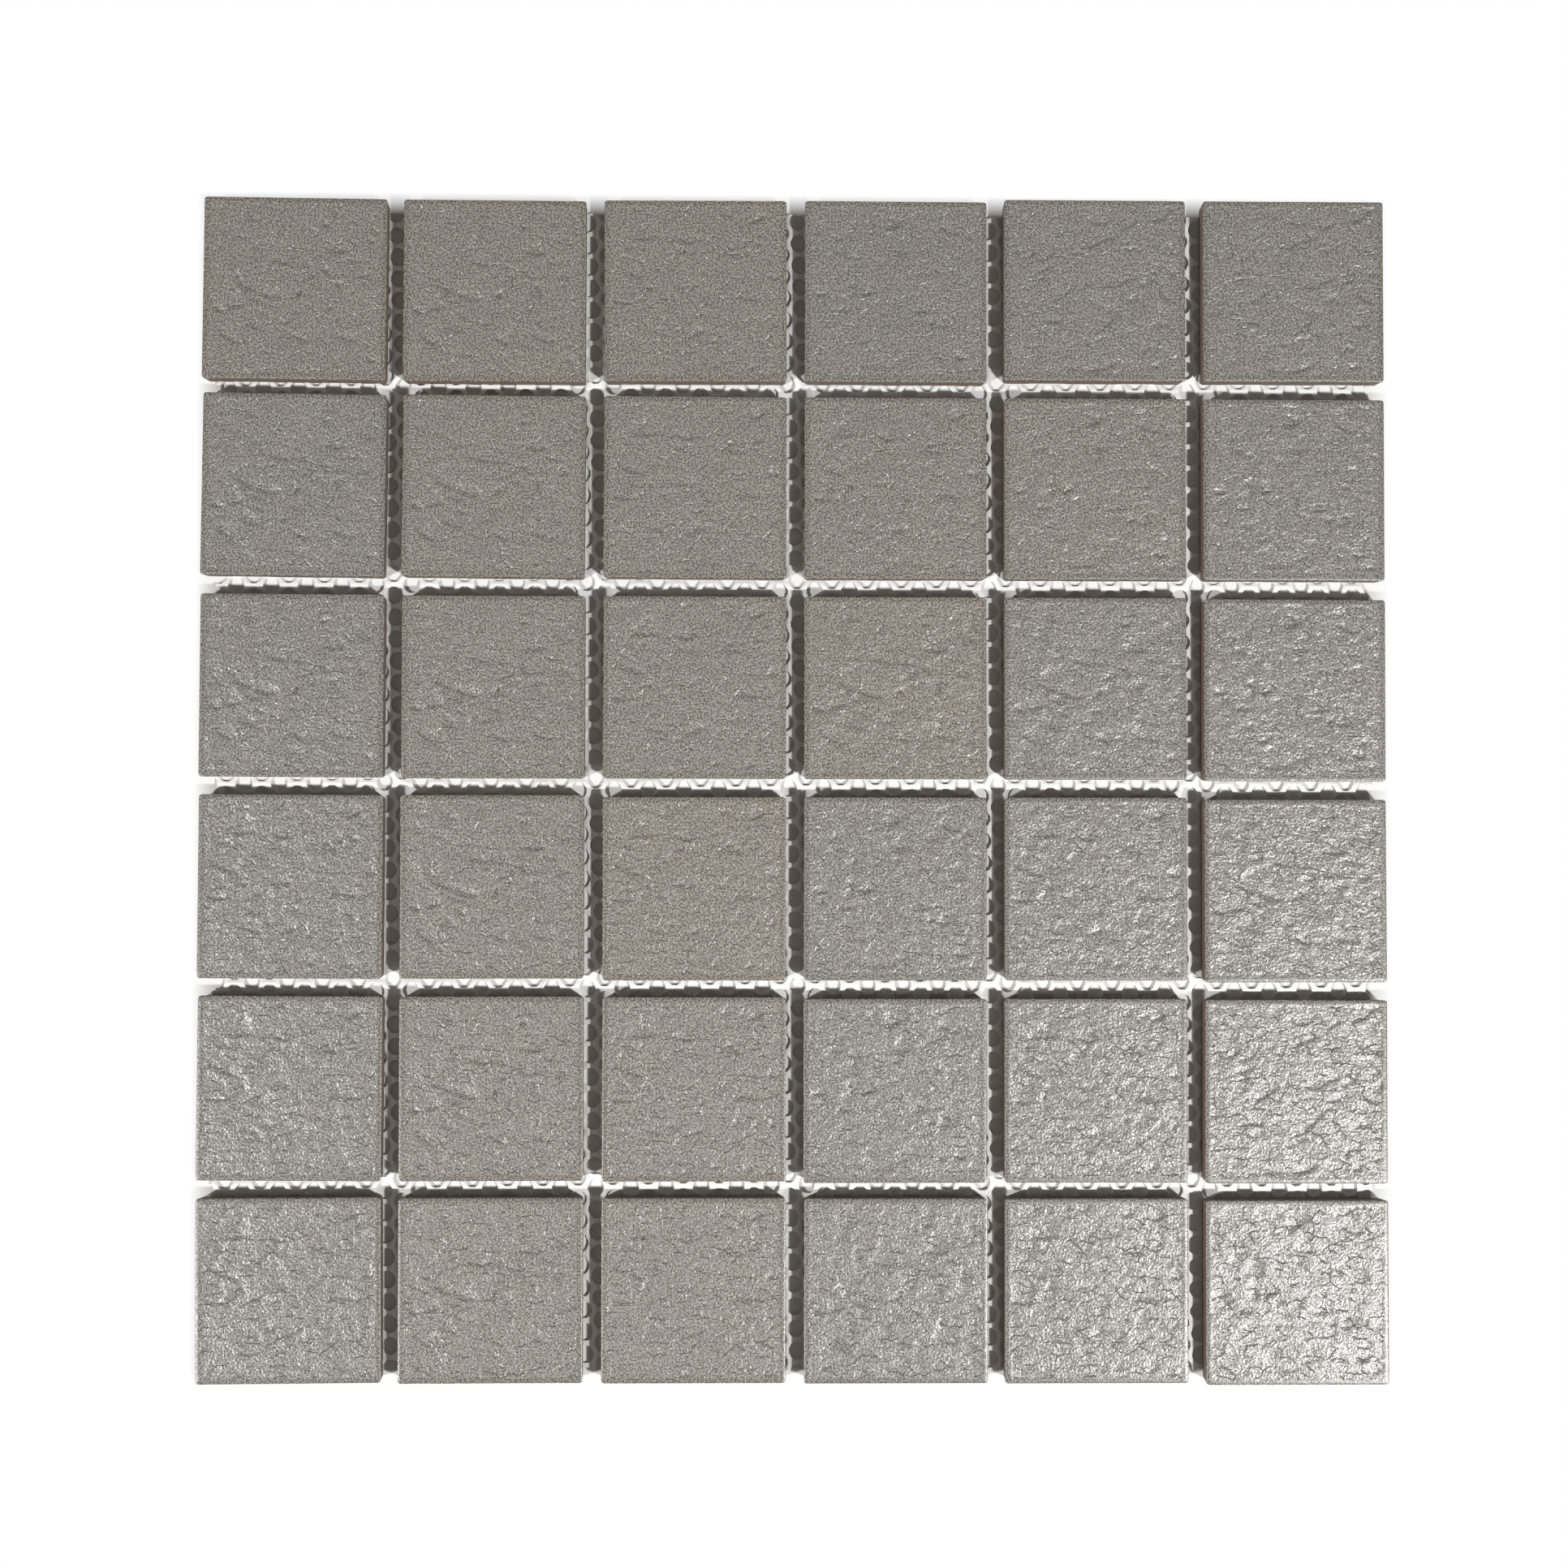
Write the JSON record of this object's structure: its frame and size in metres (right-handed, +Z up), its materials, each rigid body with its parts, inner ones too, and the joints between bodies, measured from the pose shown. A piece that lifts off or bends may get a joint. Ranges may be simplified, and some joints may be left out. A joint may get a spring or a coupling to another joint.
{
  "type": "mosaic tile sheet",
  "caption": "Square porcelain mosaic tiles with a riven, slate-like face, held in an even grid with open grout joints by a thin net glued across their backs.",
  "frame": {"origin": "middle of the sheet, on the underside of the net", "axes": "+Z up out of the tile faces; +Y towards row 1; +X from column 1 towards column 6"},
  "size_m": [0.2956, 0.2956, 0.0063],
  "materials": {
    "porcelain": "matte",
    "net": "matte"
  },
  "bodies": {
    "root": {"tile_r1_c1": "porcelain", "tile_r1_c2": "porcelain", "tile_r1_c3": "porcelain", "tile_r1_c4": "porcelain", "tile_r1_c5": "porcelain", "tile_r1_c6": "porcelain", "tile_r2_c1": "porcelain", "tile_r2_c2": "porcelain", "tile_r2_c3": "porcelain", "tile_r2_c4": "porcelain", "tile_r2_c5": "porcelain", "tile_r2_c6": "porcelain", "tile_r3_c1": "porcelain", "tile_r3_c2": "porcelain", "tile_r3_c3": "porcelain", "tile_r3_c4": "porcelain", "tile_r3_c5": "porcelain", "tile_r3_c6": "porcelain", "tile_r4_c1": "porcelain", "tile_r4_c2": "porcelain", "tile_r4_c3": "porcelain", "tile_r4_c4": "porcelain", "tile_r4_c5": "porcelain", "tile_r4_c6": "porcelain", "tile_r5_c1": "porcelain", "tile_r5_c2": "porcelain", "tile_r5_c3": "porcelain", "tile_r5_c4": "porcelain", "tile_r5_c5": "porcelain", "tile_r5_c6": "porcelain", "tile_r6_c1": "porcelain", "tile_r6_c2": "porcelain", "tile_r6_c3": "porcelain", "tile_r6_c4": "porcelain", "tile_r6_c5": "porcelain", "tile_r6_c6": "porcelain", "backing_net": "net"}
  },
  "joints": []
}
